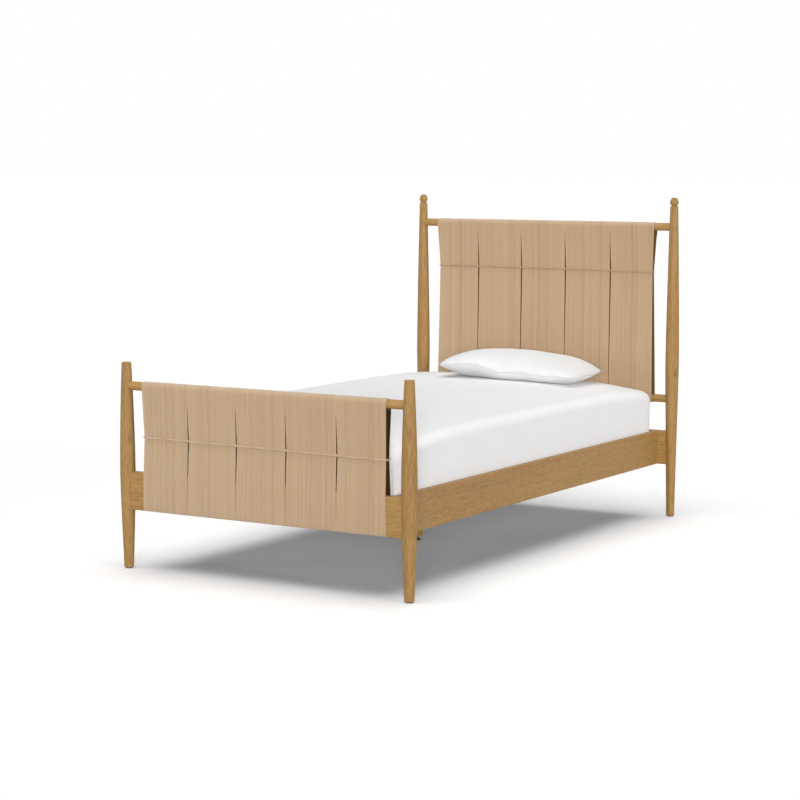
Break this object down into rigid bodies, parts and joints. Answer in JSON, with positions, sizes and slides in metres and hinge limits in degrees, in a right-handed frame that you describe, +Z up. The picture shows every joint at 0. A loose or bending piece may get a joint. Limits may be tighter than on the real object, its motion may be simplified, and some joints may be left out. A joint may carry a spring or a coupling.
{
  "type": "rope bed",
  "caption": "Twin bed with turned posts, round rails and wound cord head and foot panels tied at the waist, on side rails and slats, with a mattress and a pillow.",
  "frame": {"origin": "on the floor, under the middle of the bed's length and width", "axes": "+Z up, +Y from the foot end towards the head end, +X to the right for someone who looks from the foot towards the head"},
  "size_m": [1.183, 2.0089, 1.243],
  "materials": {
    "honey_wood": "satin, honey-coloured hardwood with a fine grain",
    "pale_wood": "unfinished pale timber, planed",
    "paper_cord": "twisted paper cord, matt",
    "tie_cord": "twisted paper cord, matt, a little paler",
    "zinc_steel": "zinc-plated steel",
    "black_plastic": "matt black",
    "white_sheet": "white percale fitted sheet",
    "pillow_case": "white percale case"
  },
  "bodies": {
    "frame": {"head_post_left": "honey_wood", "head_post_right": "honey_wood", "head_finial_left": "honey_wood", "head_finial_right": "honey_wood", "head_top_rail": "honey_wood", "head_lower_rail": "honey_wood", "head_cross_board": "honey_wood", "head_cord_section_1": "paper_cord", "head_cord_section_2": "paper_cord", "head_cord_section_3": "paper_cord", "head_cord_section_4": "paper_cord", "head_cord_section_5": "paper_cord", "head_tie_cord": "tie_cord", "foot_post_left": "honey_wood", "foot_post_right": "honey_wood", "foot_top_rail": "honey_wood", "foot_cross_board": "honey_wood", "foot_cord_section_1": "paper_cord", "foot_cord_section_2": "paper_cord", "foot_cord_section_3": "paper_cord", "foot_cord_section_4": "paper_cord", "foot_cord_section_5": "paper_cord", "foot_tie_cord": "tie_cord", "post_glides": "black_plastic", "side_rail_left": "honey_wood", "side_rail_right": "honey_wood", "slat_cleat_left": "pale_wood", "slat_cleat_right": "pale_wood", "cleat_screws": "zinc_steel", "rail_hook_plates": "zinc_steel", "rail_catch_plates": "zinc_steel", "rail_plate_screws": "zinc_steel", "slat_01": "pale_wood", "slat_02": "pale_wood", "slat_03": "pale_wood", "slat_04": "pale_wood", "slat_05": "pale_wood", "slat_06": "pale_wood", "slat_07": "pale_wood", "slat_08": "pale_wood", "slat_09": "pale_wood", "slat_10": "pale_wood", "slat_11": "pale_wood", "slat_12": "pale_wood", "slat_13": "pale_wood", "slat_screws": "zinc_steel", "centre_bearer": "pale_wood", "centre_leg": "honey_wood", "leg_bolt": "zinc_steel", "leveller_insert": "zinc_steel"},
    "leveller": {"leveller": "black_plastic"},
    "mattress": {"mattress": "white_sheet"},
    "pillow": {"pillow": "pillow_case"}
  },
  "joints": [
    {"name": "leveller_travel", "type": "slide", "parent": "frame", "child": "leveller", "axis": [0, 0, 1], "range_m": [-0.01, 0.006]},
    {"name": "mattress_lift", "type": "slide", "parent": "frame", "child": "mattress", "axis": [0, 0, 1], "range_m": [0, 0.45]},
    {"name": "pillow_lift", "type": "slide", "parent": "mattress", "child": "pillow", "axis": [0, 0, 1], "range_m": [0, 0.3]}
  ]
}
